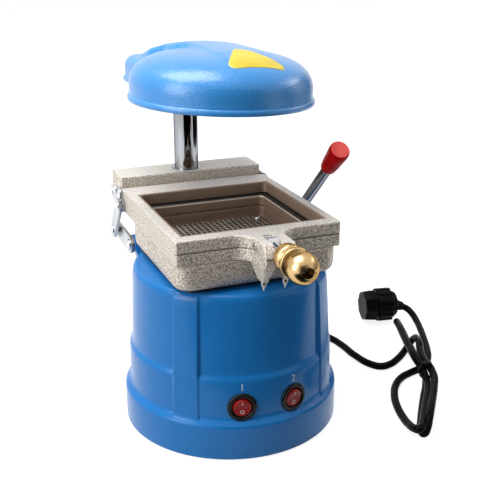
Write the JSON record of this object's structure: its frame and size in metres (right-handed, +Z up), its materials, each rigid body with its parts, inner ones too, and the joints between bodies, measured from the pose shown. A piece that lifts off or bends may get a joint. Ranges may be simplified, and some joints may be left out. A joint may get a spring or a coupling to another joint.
{
  "type": "dental vacuum former",
  "caption": "Bench vacuum former: round blue base, heated swing head on a post, clamping frames raised by a side lever, and a brass clamp knob.",
  "frame": {"origin": "on the axis of the round base, in the plane that the feet stand on", "axes": "+Z up, -Y towards the front with the switches and the clamp knob, +X to the right as seen from the front"},
  "size_m": [0.3435, 0.2958, 0.314],
  "materials": {
    "blue_plastic": "smooth satin moulded plastic",
    "blue_paint": "orange-peel powder coat",
    "cast_aluminium": "sand cast, machined on the flat faces",
    "dark_aluminium": "sand cast and heat stained",
    "chrome": "polished",
    "zinc": "zinc plated",
    "steel": "turned",
    "bronze": "sintered",
    "brass": "polished",
    "red_plastic": "glossy",
    "red_rocker": "glossy translucent look",
    "black_plastic": "satin",
    "black_rubber": "matt",
    "ceramic": "unglazed ceramic",
    "heating_wire": "oxidised",
    "grey_paint": "satin"
  },
  "bodies": {
    "base": {"base_shell": "blue_plastic", "base_plate": "grey_paint", "feet": "black_rubber", "base_screws": "zinc", "deck_gasket": "black_rubber", "vacuum_box": "cast_aluminium", "perforated_plate": "dark_aluminium", "plate_screws": "zinc", "fan_housing": "dark_aluminium", "motor_can": "grey_paint", "motor_mount": "black_rubber", "post": "chrome", "post_socket": "dark_aluminium", "post_bolts": "zinc", "post_collar": "steel", "shaft_bushes": "bronze", "switch_bezel_left": "black_plastic", "switch_bezel_right": "black_plastic", "terminal_block": "ceramic", "cord_gland": "black_rubber", "cord_run": "black_rubber", "cord_hank": "black_rubber", "cord_tail": "black_rubber", "cord_tie": "black_rubber", "plug": "black_plastic"},
    "lever": {"lever_shaft": "steel", "crank_left": "zinc", "crank_right": "zinc", "crank_screw": "zinc", "lever_hub": "steel", "lever_rod": "chrome", "lever_grip": "red_plastic"},
    "link_left": {"link_left": "zinc", "link_pins_left": "zinc"},
    "link_right": {"link_right": "zinc", "link_pins_right": "zinc"},
    "carrier": {"rear_bar": "dark_aluminium", "post_bush": "bronze", "lower_frame": "cast_aluminium", "bracket_left": "zinc", "bracket_right": "zinc", "bracket_screws": "zinc", "hinge_screws": "zinc", "frame_bolts": "zinc", "prong_tips": "zinc"},
    "upper_frame": {"upper_frame": "cast_aluminium", "clamp_pin": "zinc"},
    "clamp_bolt": {"eye_bolt": "zinc"},
    "knob_carriage": {"clamp_washer": "zinc"},
    "knob": {"clamp_knob": "brass"},
    "head": {"head_shell": "blue_paint", "heater_plate": "chrome", "heater_coil": "heating_wire", "heater_insulators": "ceramic", "head_sleeve": "zinc"},
    "rocker_left": {"switch_rocker_left": "red_rocker"},
    "rocker_right": {"switch_rocker_right": "red_rocker"},
    "fan": {"impeller": "dark_aluminium", "motor_shaft": "steel"}
  },
  "joints": [
    {"name": "lever_pull", "type": "hinge", "parent": "base", "child": "lever", "pos_m": [0, 0.068, 0.139], "axis": [1, 0, 0], "range_deg": [0, 50]},
    {"name": "left_link_turn", "type": "hinge", "parent": "lever", "child": "link_left", "pos_m": [-0.0725, 0.10798, 0.1404], "axis": [1, 0, 0], "range_deg": [-78, 0]},
    {"name": "right_link_turn", "type": "hinge", "parent": "lever", "child": "link_right", "pos_m": [0.0725, 0.10798, 0.1404], "axis": [1, 0, 0], "range_deg": [-78, 0]},
    {"name": "carrier_lift", "type": "slide", "parent": "base", "child": "carrier", "axis": [0, 0, 1], "range_m": [0, 0.0395]},
    {"name": "upper_frame_hinge", "type": "hinge", "parent": "carrier", "child": "upper_frame", "pos_m": [0, 0.08865, 0.17965], "axis": [-1, 0, 0], "range_deg": [0, 25]},
    {"name": "clamp_bolt_swing", "type": "hinge", "parent": "upper_frame", "child": "clamp_bolt", "pos_m": [0.002, -0.084, 0.179], "axis": [1, 0, 0], "range_deg": [-80, 30]},
    {"name": "knob_travel", "type": "slide", "parent": "clamp_bolt", "child": "knob_carriage", "axis": [0, -1, 0], "range_m": [-0.003, 0.005]},
    {"name": "knob_turn", "type": "hinge", "parent": "knob_carriage", "child": "knob", "pos_m": [0.002, -0.12, 0.179], "axis": [0, -1, 0], "range_deg": [-875, 1450]},
    {"name": "head_swing", "type": "hinge", "parent": "base", "child": "head", "pos_m": [0, 0.112, 0.28], "axis": [0, 0, 1], "range_deg": [-95, 95]},
    {"name": "left_rocker", "type": "hinge", "parent": "base", "child": "rocker_left", "pos_m": [-0.02154, -0.08212, 0.046], "axis": [-0.9673, 0.2538, 0], "range_deg": [0, 16]},
    {"name": "right_rocker", "type": "hinge", "parent": "base", "child": "rocker_right", "pos_m": [0.02154, -0.08212, 0.046], "axis": [-0.9673, -0.2538, 0], "range_deg": [0, 16]},
    {"name": "fan_spin", "type": "hinge", "parent": "base", "child": "fan", "pos_m": [0, 0, 0.1], "axis": [0, 0, 1], "continuous": true}
  ],
  "couplings": [
    {"joint": "left_link_turn", "follows": "lever_pull", "ratio": -1.5444},
    {"joint": "right_link_turn", "follows": "lever_pull", "ratio": -1.5444},
    {"joint": "carrier_lift", "follows": "lever_pull", "m_per_rad": 0.044808},
    {"joint": "knob_turn", "follows": "knob_travel", "rad_per_m": 5026.6}
  ]
}
